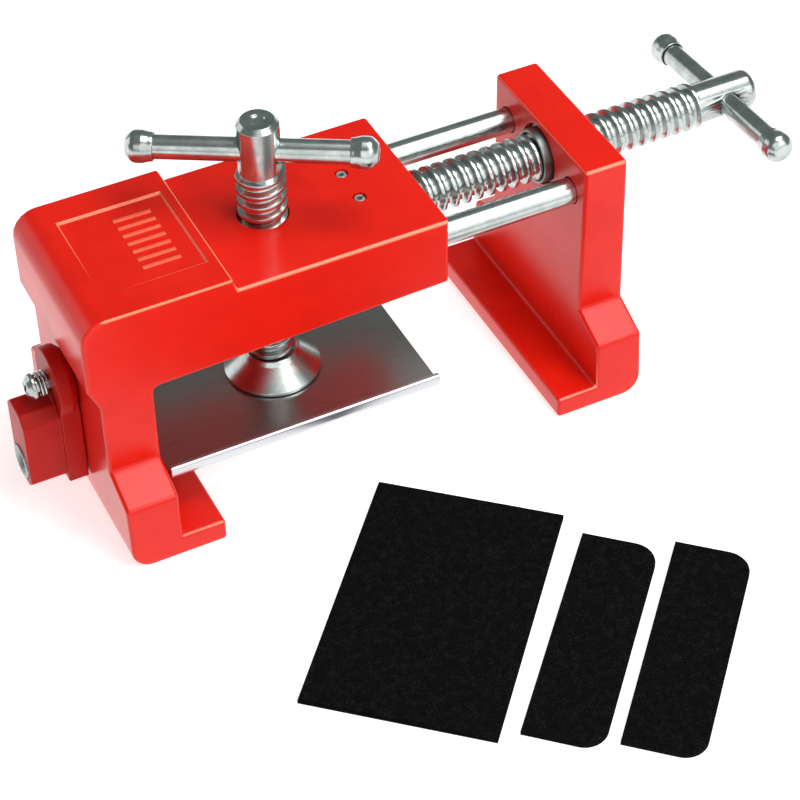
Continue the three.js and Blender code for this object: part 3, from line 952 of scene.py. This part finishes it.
@dataclass
class TBar(Assembly):
    """A sliding bar with a swaged cap on each end."""

    node: str
    ends: tuple[str, str]
    direction: Vector
    radius: float = 3.5
    cap_radius: float = 4.7
    cap_length: float = 8.0
    socket_depth: float = 5.0
    slack: float = 0.3
    length: float = 71.0

    def hole(self, centre: Vector, clearance: float = 0.35) -> bpy.types.Object:
        """Makes the cutter for the bar's hole.

        Args:
            centre: the middle of the hole.
            clearance: how much wider than the bar its radius is.

        Returns:
            The cutter.
        """
        reach = 12.0
        radius = self.radius + clearance
        outline = [(0, -reach, 0), (radius, -reach, 0), (radius, reach, 0), (0, reach, 0)]
        cutter = Shape.turned(rounded(outline), Axis.Z, (0, 0, 0), 40)
        return cutter.moved(bar_place(self.direction, centre)).object("bar_hole_cutter")

    def build(self) -> None:
        """Builds the bar and both caps."""
        caps = [f"{self.node}_cap_{end}" for end in self.ends]
        middle = sum((self.shop.span(node)[2] for node in caps), Vector()) / 2
        end = self.length / 2
        bar_end = end - self.cap_length + self.socket_depth - self.slack
        bar = [(0, -bar_end, 0), (self.radius, -bar_end, 0.4), (self.radius, bar_end, 0.4), (0, bar_end, 0)]
        turned = Shape.turned(rounded(bar), Axis.Z, (0, 0, 0))
        self.shop.place(turned.moved(bar_place(self.direction, middle)).object(f"{self.node}_rod"), self.node)
        foot = end - self.cap_length
        socket = self.radius + self.slack
        cap = [
            (0, foot + self.socket_depth, 0), (socket, foot + self.socket_depth, 0), (socket, foot, 0.1),
            (socket + 0.35, foot, 0.15), (socket + 0.45, foot + 1.2, 1.5), (self.cap_radius, foot + 3.0, 2.5),
            (self.cap_radius, end - 2.2, 2.6), (self.cap_radius - 2.0, end, 2.4), (0, end, 0),
        ]
        for node, flip in zip(caps, (True, False)):
            shape = Shape.turned(rounded(cap), Axis.Z, (0, 0, 0))
            if flip:
                shape.moved(Matrix.Rotation(math.pi, 4, "X"))
            shape.moved(bar_place(self.direction, middle))
            self.shop.place(shape.object(f"{node}_swaged"), node)


@dataclass
class MainDrive(Assembly):
    """The horizontal screw with its T-bar, the guide rods, the jaw's nut and the two roll pins."""

    thread: Thread = Thread()
    head_radius: float = 6.15
    thread_end: float = 189.4
    bar_inset: float = 10.6
    collar_length: float = 6.0
    neck_radius: float = 3.9
    neck_length: float = 4.5
    nut_clearance: float = 0.35
    nose_step: float = 1.1
    nose_length: float = 4.5
    pin_wall: float = 0.95
    pin_slot: float = math.radians(26)
    bar_direction: Vector = field(
        default_factory=lambda: Vector((0, math.cos(math.radians(4)), -math.sin(math.radians(4))))
    )

    def build(self) -> None:
        """Builds every piece."""
        bar = TBar(self.shop, "main_t_bar", ("front", "back"), self.bar_direction)
        self.screw(bar)
        bar.build()
        self.rods()
        self.nut()
        self.pins()

    def screw(self, bar: TBar) -> None:
        """Turns the threaded screw, with its collar, neck and round head.

        Args:
            bar: the T-bar, whose hole goes through the head.
        """
        low, high, middle = self.shop.span("main_screw")
        start, end = low.x, high.x
        neck = start + self.collar_length
        crest = self.thread.diameter / 2
        inner = [
            (self.neck_radius, neck + self.neck_length, 0), (self.neck_radius, neck, 0.2), (crest, neck, 0.4),
            (crest, start, 1.0), (crest - 3.0, start, 0),
        ]
        outer = [
            (self.head_radius, self.thread_end, 0), (self.head_radius, end, 3.2), (0.6, end, 0),
        ]
        shape = self.thread.shaft(neck + self.neck_length, self.thread_end, inner, outer, 8)
        shape.moved(Matrix.Translation((0, 0, middle.z)) @ Axis.X.turn())
        piece = shape.object("main_screw_threaded")
        cut(piece, bar.hole(Vector((end - self.bar_inset, 0, middle.z))))
        self.shop.place(piece, "main_screw")

    def rods(self) -> None:
        """Turns the two guide rods."""
        for node in ("guide_rod_front", "guide_rod_back"):
            low, high, middle = self.shop.span(node)
            radius = (high.z - low.z) / 2
            outline = [(0, low.x, 0), (radius, low.x, 0.6), (radius, high.x, 0.6), (0, high.x, 0)]
            shape = Shape.turned(rounded(outline, 3), Axis.X, (0, middle.y, middle.z))
            self.shop.place(shape.object(f"{node}_ground"), node)

    def nut(self) -> None:
        """Turns the threaded bush in the moving jaw."""
        low, high, middle = self.shop.span("jaw_nut")
        bore = self.thread.diameter / 2 + self.nut_clearance
        outer = (high.z - low.z) / 2
        nose, shoulder = outer - self.nose_step, low.x + self.nose_length
        outline = [
            (bore, low.x + 2.0, 0), (bore, low.x, 0.3), (nose, low.x, 0.5), (nose, shoulder, 0.1),
            (outer, shoulder, 0.3), (outer, high.x, 0.5), (bore, high.x, 0.4), (bore, low.x + 2.0, 0),
        ]
        shape = Shape.turned(rounded(outline), Axis.X, (0, middle.y, middle.z))
        self.shop.place(shape.object("jaw_nut_turned"), "jaw_nut", DULL_ZINC.material())

    def pins(self) -> None:
        """Rolls the two slotted spring pins."""
        for node in ("screw_pin_front", "screw_pin_back"):
            low, high, middle = self.shop.span(node)
            outer = (high.y - low.y) / 2
            bore = outer - self.pin_wall
            outline = [
                (bore, low.z, 0), (outer - 0.3, low.z, 0.1), (outer, low.z + 0.5, 0.2),
                (outer, high.z - 0.5, 0.2), (outer - 0.3, high.z, 0.1), (bore, high.z, 0.1), (bore, low.z, 0),
            ]
            shape = Shape()
            points = [shape.mesh.verts.new((point.x, 0, point.y)) for point in rounded(outline, 2)[:-1]]
            shape.mesh.faces.new(points)
            shape.spin(2 * math.pi - self.pin_slot, 30)
            shape.close()
            turn = Matrix.Rotation(self.pin_slot / 2, 4, "Z")
            shape.moved(Matrix.Translation((middle.x, middle.y, 0)) @ turn)
            self.shop.place(shape.object(f"{node}_rolled"), node)


@dataclass
class PressureDrive(Assembly):
    """The vertical screw with its T-bar, the swivel cup and the bent plate that it presses down."""

    thread: Thread = Thread()
    head_radius: float = 6.15
    head_length: float = 17.6
    bar_inset: float = 10.4
    foot_gap: float = 0.6
    foot_neck: float = 4.2
    foot_radius: float = 5.9
    foot_height: float = 3.4
    socket_radius: float = 6.25
    socket_height: float = 4.2
    cup_shoulder: float = 8.6
    cup_top: float = 7.6
    cup_bore: float = 4.55
    bar_direction: Vector = field(
        default_factory=lambda: Vector((math.cos(math.radians(30)), -math.sin(math.radians(30)), 0))
    )

    def build(self) -> None:
        """Builds every piece."""
        bar = TBar(self.shop, "pressure_t_bar", ("left", "right"), self.bar_direction)
        self.screw(bar)
        bar.build()
        self.cup()
        self.plate()

    def screw(self, bar: TBar) -> None:
        """Turns the threaded screw, with its foot and its chamfered head.

        Args:
            bar: the T-bar, whose hole goes through the head.
        """
        low, high, middle = self.shop.span("pressure_screw")
        thread_start = self.shop.span("swivel_cup")[1].z + self.foot_gap
        shoulder = high.z - self.head_length
        ankle = low.z + self.foot_height
        foot = [
            (self.foot_neck, thread_start, 0), (self.foot_neck, ankle, 0.2), (self.foot_radius, ankle, 0.3),
            (self.foot_radius, low.z, 0.5), (2.0, low.z, 0),
        ]
        head = [
            (self.head_radius, shoulder, 0), (self.head_radius, high.z - 1.4, 0.25),
            (self.head_radius - 1.3, high.z, 0.3), (2.4, high.z, 0.2), (1.9, high.z - 0.5, 0.5),
            (0.5, high.z - 0.7, 0),
        ]
        shape = self.thread.shaft(thread_start, shoulder, foot, head, 5)
        shape.moved(Matrix.Translation((middle.x, middle.y, 0)))
        piece = shape.object("pressure_screw_threaded")
        cut(piece, bar.hole(Vector((middle.x, middle.y, high.z - self.bar_inset))))
        self.shop.place(piece, "pressure_screw")

    def cup(self) -> None:
        """Turns the conical cup."""
        low, high, middle = self.shop.span("swivel_cup")
        rim = (high.x - low.x) / 2
        socket, roof = self.socket_radius, low.z + self.socket_height
        outline = [
            (socket, low.z + 2.0, 0), (socket, low.z, 0.2), (rim, low.z, 0.2), (rim, low.z + 0.9, 0.4),
            (self.cup_shoulder, high.z - 1.3, 1.6), (self.cup_top, high.z, 0.5), (self.cup_bore, high.z, 0.3),
            (self.cup_bore, roof, 0.1), (socket, roof, 0.1), (socket, low.z + 2.0, 0),
        ]
        shape = Shape.turned(rounded(outline), Axis.Z, (middle.x, middle.y, 0), 72)
        self.shop.place(shape.object("swivel_cup_pressed"), "swivel_cup")

    def plate(self) -> None:
        """Bends the plate, with a lip along each long edge."""
        low, high, _ = self.shop.span("pressure_plate")
        thickness, bend, hem = 2.0, 2.6, 0.75
        section = [(low.y, high.z, 0), (low.y, low.z, bend), (high.y, low.z, bend), (high.y, high.z, 0)]
        shape = Shape()
        points = [shape.mesh.verts.new((low.x, point.x, point.y)) for point in rounded(section, 6)]
        edges = [shape.mesh.edges.new(pair) for pair in zip(points, points[1:])]
        grown = bmesh.ops.extrude_edge_only(shape.mesh, edges=edges)["geom"]
        far = [part for part in grown if isinstance(part, bmesh.types.BMVert)]
        bmesh.ops.translate(shape.mesh, vec=(high.x - low.x, 0, 0), verts=far)
        bmesh.ops.recalc_face_normals(shape.mesh, faces=shape.mesh.faces)
        floor = max(shape.mesh.faces, key=lambda face: face.calc_area())
        if floor.normal.z > 0:
            bmesh.ops.reverse_faces(shape.mesh, faces=shape.mesh.faces)
        bmesh.ops.solidify(shape.mesh, geom=shape.mesh.faces[:], thickness=thickness)
        bmesh.ops.recalc_face_normals(shape.mesh, faces=shape.mesh.faces)
        edges = shape.sharp_edges(60.0)
        rims = [edge for edge in edges if all(vertex.co.z > high.z - 0.01 for vertex in edge.verts)]
        shape.bevel([edge for edge in rims if edge.calc_length() > thickness + 1], hem, 5)
        shape.bevel(shape.sharp_edges(60.0), 0.3)
        piece = shape.object("pressure_plate_bent")

        def share_at(vertex: bpy.types.MeshVertex) -> float:
            """Returns: the painted reflection of a point, full on the lips' outer faces."""
            inward = min(vertex.co.y / MM - low.y, high.y - vertex.co.y / MM)
            return min(max(1 - inward / thickness, 0.0), 1.0)

        # Painted reflection: the lips' outer faces get a bright tint, as if they mirrored the pale floor.
        paint_highlight(piece, share_at)
        self.shop.place(piece, "pressure_plate")


# ---- Drill guide ----


@dataclass
class GuideFittings(Assembly):
    """The bush in the drill guide, its pivot screw and the spring under the screw's head."""

    wire_radius: float = 0.45
    coil_turns: float = 2.6
    bush_bore: float = 3.25
    shank_radius: float = 2.4
    head_height: float = 2.5
    recess: tuple[float, float, float] = (2.6, 0.95, 4.4)
    recess_turn: float = 0.5

    def build(self) -> None:
        """Builds every piece."""
        self.bush()
        self.screw()
        self.spring()

    def bush(self) -> None:
        """Turns the hardened bush."""
        low, high, middle = self.shop.span("drill_bush")
        outer, bore = (high.z - low.z) / 2, self.bush_bore
        outline = [
            (bore, low.x + 3.0, 0), (bore, low.x + 0.9, 0.1), (bore + 0.8, low.x, 0.1), (outer, low.x, 0.3),
            (outer, high.x, 0.3), (bore, high.x, 0.1), (bore, low.x + 3.0, 0),
        ]
        shape = Shape.turned(rounded(outline, 3), Axis.X, (0, middle.y, middle.z))
        self.shop.place(shape.object("drill_bush_turned"), "drill_bush")

    def screw(self) -> None:
        """Turns the pan-head pivot screw and cuts its cross recess."""
        low, high, middle = self.shop.span("guide_screw")
        head, shank = (high.z - low.z) / 2, self.shank_radius
        seat = low.x + self.head_height
        outline = [
            (0, low.x, 0), (head * 0.62, low.x, 1.2), (head, low.x + 1.4, 0.8), (head, seat, 0.2),
            (shank, seat, 0.2), (shank, high.x, 0.5), (0, high.x, 0),
        ]
        shape = Shape.turned(rounded(outline), Axis.X, (0, middle.y, middle.z))
        piece = shape.object("guide_screw_turned")
        for turn in (0.0, math.pi / 2):
            slot = Shape()
            bmesh.ops.create_cube(slot.mesh, size=1.0)
            bmesh.ops.scale(slot.mesh, vec=Vector(self.recess), verts=slot.mesh.verts)
            turned = Matrix.Rotation(turn + self.recess_turn, 4, "X")
            slot.moved(Matrix.Translation((low.x, middle.y, middle.z)) @ turned)
            cut(piece, slot.object("recess_cutter"))
        self.shop.place(piece, "guide_screw")

    def spring(self) -> None:
        """Winds the spring."""
        low, high, middle = self.shop.span("guide_spring")
        mean = (high.z - low.z) / 2 - self.wire_radius
        steps = round(self.coil_turns * 24)
        reach = high.x - low.x - 2 * self.wire_radius
        shape = Shape()
        bmesh.ops.create_circle(shape.mesh, cap_ends=True, radius=self.wire_radius, segments=12)
        shape.moved(Matrix.Translation((mean, 0, self.wire_radius)) @ Matrix.Rotation(math.pi / 2, 4, "X"))
        shape.spin(2 * math.pi * self.coil_turns, steps, reach / steps)
        shape.close()
        shape.moved(Matrix.Translation((low.x, middle.y, middle.z)) @ Axis.X.turn())
        self.shop.place(shape.object("guide_spring_wound"), "guide_spring")


# ---- Loose pads ----


@dataclass
class FeltPad(Assembly):
    """A thin felt pad that lies flat, with two round corners if it has a corner radius."""

    node: str
    length: float
    width: float
    corner: float
    turn: float
    thickness: float = 1.8
    cell: float = 1.6
    nap: float = 0.12
    nap_scale: float = 0.35
    edge_radius: float = 0.45

    def build(self) -> None:
        """Cuts the pad, gives it thickness and a slightly uneven surface."""
        shape = Shape()
        columns, rows = round(self.length / self.cell), round(self.width / self.cell)
        bmesh.ops.create_grid(shape.mesh, x_segments=columns, y_segments=rows, size=0.5)
        bmesh.ops.scale(shape.mesh, vec=Vector((self.length, self.width, 1)), verts=shape.mesh.verts)
        self.round_corners(shape)
        grown = bmesh.ops.extrude_face_region(shape.mesh, geom=shape.mesh.faces[:])["geom"]
        top = [part for part in grown if isinstance(part, bmesh.types.BMVert)]
        bmesh.ops.translate(shape.mesh, vec=(0, 0, self.thickness), verts=top)
        shape.close()
        half = self.thickness / 2
        rim = [edge for edge in shape.sharp_edges(60.0) if all(vertex.co.z > half for vertex in edge.verts)]
        shape.bevel(rim, self.edge_radius, 2)
        for vertex in shape.mesh.verts:
            if vertex.co.z > 0.3:
                vertex.co.z -= self.nap * (1 + noise.noise(vertex.co * self.nap_scale)) / 2
        shape.moved(Matrix.Rotation(math.radians(self.turn), 4, "Z"))
        low = Vector([min(vertex.co[axis] for vertex in shape.mesh.verts) for axis in range(2)])
        shift = self.shop.span(self.node)[0].xy - low
        piece = shape.moved(Matrix.Translation((shift.x, shift.y, 0))).object(f"{self.node}_felt")
        self.shop.place(piece, self.node)
        cut_off = (2 - math.pi / 2) * self.corner**2
        area = (self.length * self.width - cut_off) * MM * MM
        self.width * MM

    def round_corners(self, shape: Shape) -> None:
        """Trims the two corners on the -Y side to quarter circles.

        Args:
            shape: the flat pad.
        """
        if not self.corner:
            return
        facets = 8
        for side in (-1, 1):
            centre = Vector((side * (self.length / 2 - self.corner), -self.width / 2 + self.corner, 0))
            for facet in range(facets):
                angle = math.pi / 2 * (facet + 0.5) / facets
                outward = Vector((side * math.sin(angle), -math.cos(angle), 0))
                shape.trim(centre + outward * self.corner, outward)


# ---- Studio ----


@dataclass(frozen=True)
class Softbox:
    """A soft area light. Places and sizes are in metres, power in watts."""

    name: str
    place: tuple[float, float, float]
    size: tuple[float, float]
    power: float
    target: tuple[float, float, float] = (0.06, 0.0, 0.05)

    def hang(self) -> None:
        """Hangs the light, facing its target."""
        data = bpy.data.lights.new(self.name, "AREA")
        data.shape = "RECTANGLE"
        data.size, data.size_y = self.size
        data.energy = self.power
        light = bpy.data.objects.new(self.name, data)
        facing = (Vector(self.target) - Vector(self.place)).to_track_quat("-Z", "Y").to_matrix().to_4x4()
        light.matrix_world = Matrix.Translation(self.place) @ facing
        bpy.context.scene.collection.objects.link(light)


@dataclass
class Studio:
    """The floor, the lights and the camera. None of it is part of the clamp."""

    eye: tuple[float, float, float] = (-150.9, -492.0, 510.3)
    azimuth: float = 26.02
    elevation: float = 43.66
    roll: float = -0.76
    lens: float = 107.9
    room_glow: Colour = (0.17, 0.2, 0.19)
    floor_colour: Colour = (0.76, 0.76, 0.76)
    floor_glow: float = 0.62
    dim_spot: tuple[float, float, float] = (80, -260, 0)
    dim_stretch: tuple[float, float, float] = (1.0, 2.4, 1.0)
    dim_reach: tuple[float, float] = (0.015, 0.15)
    dim_glow: Colour = (0.1, 0.1, 0.1)
    far_glow: Colour = (1.25, 1.25, 1.25)
    softboxes: tuple[Softbox, ...] = (
        Softbox("front", (0.12, -0.9, 0.6), (2.0, 1.0), 6.8),
        Softbox("key", (0.4, -0.72, 0.73), (0.36, 0.3), 2.4),
        Softbox("overhead", (0.36, -0.12, 0.98), (0.6, 0.6), 6.0),
        Softbox("back_left", (-0.66, 0.65, 0.34), (0.6, 0.5), 0.95, (0.0, 0.0, 0.06)),
    )

    def build(self) -> None:
        """Builds the whole studio."""
        self.camera()
        self.floor()
        self.lights()

    def camera(self) -> None:
        """Stands the camera at the eye point."""
        azimuth, elevation = math.radians(self.azimuth), math.radians(self.elevation)
        level = math.cos(elevation)
        forward = Vector((math.sin(azimuth) * level, math.cos(azimuth) * level, -math.sin(elevation)))
        data = bpy.data.cameras.new("camera")
        data.lens = self.lens
        data.sensor_width = 36.0
        camera = bpy.data.objects.new("camera", data)
        upright = forward.to_track_quat("-Z", "Y").to_matrix().to_4x4()
        tilt = Matrix.Rotation(math.radians(self.roll), 4, "Z")
        camera.matrix_world = Matrix.Translation(Vector(self.eye) * MM) @ upright @ tilt
        bpy.context.scene.collection.objects.link(camera)
        bpy.context.scene.camera = camera

    def floor(self) -> None:
        """Lays a plain pale floor, which the clamp's gloss sees dimmer in front of the beam."""
        shape = Shape()
        bmesh.ops.create_grid(shape.mesh, x_segments=1, y_segments=1, size=6000)
        floor = shape.moved(Matrix.Translation((0, 0, -0.05))).object("floor")
        shader = Shader("pale_floor")
        shader.dress(Base_Color=(*self.floor_colour, 1), Roughness=0.9, Specular_IOR_Level=0.1)
        shader.dress(Emission_Color=(1, 1, 1, 1), Emission_Strength=self.floor_glow)
        scaled = shader.node(
            "ShaderNodeVectorMath", {"operation": "MULTIPLY"}, {0: shader.place, 1: self.dim_stretch}
        )
        reach = shader.node(
            "ShaderNodeVectorMath", {"operation": "DISTANCE"},
            {0: scaled.outputs["Vector"], 1: Vector(self.dim_spot) * MM},
        )
        spread = Maths(shader, reach.outputs["Value"]).step(*self.dim_reach)
        glow = shader.blend(spread, self.dim_glow, self.far_glow)
        dim = shader.node("ShaderNodeEmission", {}, {"Color": glow})
        seen = shader.node("ShaderNodeLightPath").outputs["Is Camera Ray"]
        mixed = shader.node(
            "ShaderNodeMixShader", {},
            {0: seen, 1: dim.outputs["Emission"], 2: shader.surface.outputs["BSDF"]},
        )
        shader.feed(shader.output.inputs["Surface"], mixed.outputs["Shader"])
        floor.data.materials.append(shader.material)

    def lights(self) -> None:
        """Sets the room's dim glow and hangs the softboxes."""
        world = bpy.data.worlds.new("studio")
        world.use_nodes = True
        world.node_tree.nodes["Background"].inputs["Color"].default_value = (*self.room_glow, 1)
        world.node_tree.nodes["Background"].inputs["Strength"].default_value = 1.0
        bpy.context.scene.world = world
        bpy.context.scene.view_settings.view_transform = "Standard"
        for softbox in self.softboxes:
            softbox.hang()


def castings(shop: Workshop) -> list[Casting]:
    """Lists the two jaws and the drill guide, each with its roundings, in millimetres.

    Args:
        shop: the workshop that builds them.

    Returns:
        The castings.
    """
    rods = ("guide_rod_front", "guide_rod_back")
    pins = ("screw_pin_front", "screw_pin_back")

    def bore(node: str, radius: float, axis: Axis = Axis.X) -> Bore:
        """Returns: the hole of a radius round the middle of a CAD node."""
        return Bore(axis, shop.span(node)[2], radius)

    fixed = Casting(
        shop, "fixed_body", "fixed_body_cast", 1.1,
        roundings=(
            Rounding(1.5, (-19.2, -28, 52), (-12, 28, 84.2)),
            Rounding(0.45, (-10, -17.5, 83), (24, 17.5, 84.2)),
        ),
        bores=(
            *(bore(rod, 4.35) for rod in rods),
            bore("main_screw", 7.6),
            bore("pressure_screw", 7.6, Axis.Z),
            *(bore(pin, 2.05, Axis.Z) for pin in pins),
            bore("drill_bush", 4.0),
            bore("guide_screw", 2.7),
        ),
        # Edges that get a painted highlight, a lighter tint where the light catches them.
        painted_highlight=(
            Rounding(1.0, (26, -28, 79), (93, -27, 80.2)),
            Rounding(1.0, (-12, -28, 83.5), (26.5, -27, 84.5)),
            Rounding(0.8, (-0.1, -41, 6.8), (13.5, -38, 7.2)),
            Rounding(0.9, (-10, 16, 83.5), (24, 18, 84.5)),
            Rounding(0.9, (18, -18, 83.5), (24, 18, 84.5)),
            Rounding(0.55, (25, -28, 83.5), (28, 28, 84.5)),
        ),
    )
    moving = Casting(
        shop, "moving_jaw", "moving_jaw_cast", 1.1,
        bores=(*(bore(rod, 4.3) for rod in rods), bore("jaw_nut", 9.8)),
        # Edges that get a painted highlight, a lighter tint where the light catches them.
        painted_highlight=(
            Rounding(1.0, (136, -28, 80), (151, -27, 81)),
            Rounding(0.6, (136, -28, 80), (136.8, 28, 81)),
            Rounding(0.8, (123, -41, 6.8), (137, -38, 7.2)),
            Rounding(0.5, (136, -41, 6.8), (137, 41, 7.2)),
        ),
    )
    guide = Casting(
        shop, "drill_guide", "drill_guide_cast", 0.6,
        bores=(bore("guide_screw", 2.75), bore("drill_bush", 5.55), bore("drill_bush", 4.0)),
        # Painted shade: the guide's enamel is a darker copy of the red, for the weaker light that reaches the
        # guide.
        enamel=Enamel((0.5, 0.009, 0.005), (0.44, 0.007, 0.004), roughness=0.36, gloss=0.16),
    )
    return [fixed, moving, guide]


def pads(shop: Workshop) -> list[FeltPad]:
    """Lists the plate's pad and the two jaw pads.

    Args:
        shop: the workshop that builds them.

    Returns:
        The pads.
    """
    return [
        FeltPad(shop, "plate_pad", length=85.6, width=56.0, corner=0.0, turn=48.8),
        FeltPad(shop, "fixed_jaw_pad", length=75.5, width=22.8, corner=7.0, turn=47.6),
        FeltPad(shop, "moving_jaw_pad", length=75.5, width=22.8, corner=7.0, turn=47.6),
    ]


def main() -> None:
    """Builds the studio and every sub-assembly."""
    logging.basicConfig(level=logging.INFO, format="%(name)s: %(message)s")
    shop = Workshop(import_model())
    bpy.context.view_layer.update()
    Studio().build()
    fittings = [RibbedPanel(shop), MainDrive(shop), PressureDrive(shop), GuideFittings(shop)]
    for assembly in [*castings(shop), *fittings, *pads(shop)]:
        assembly.build()


if __name__ == "__main__":
    main()
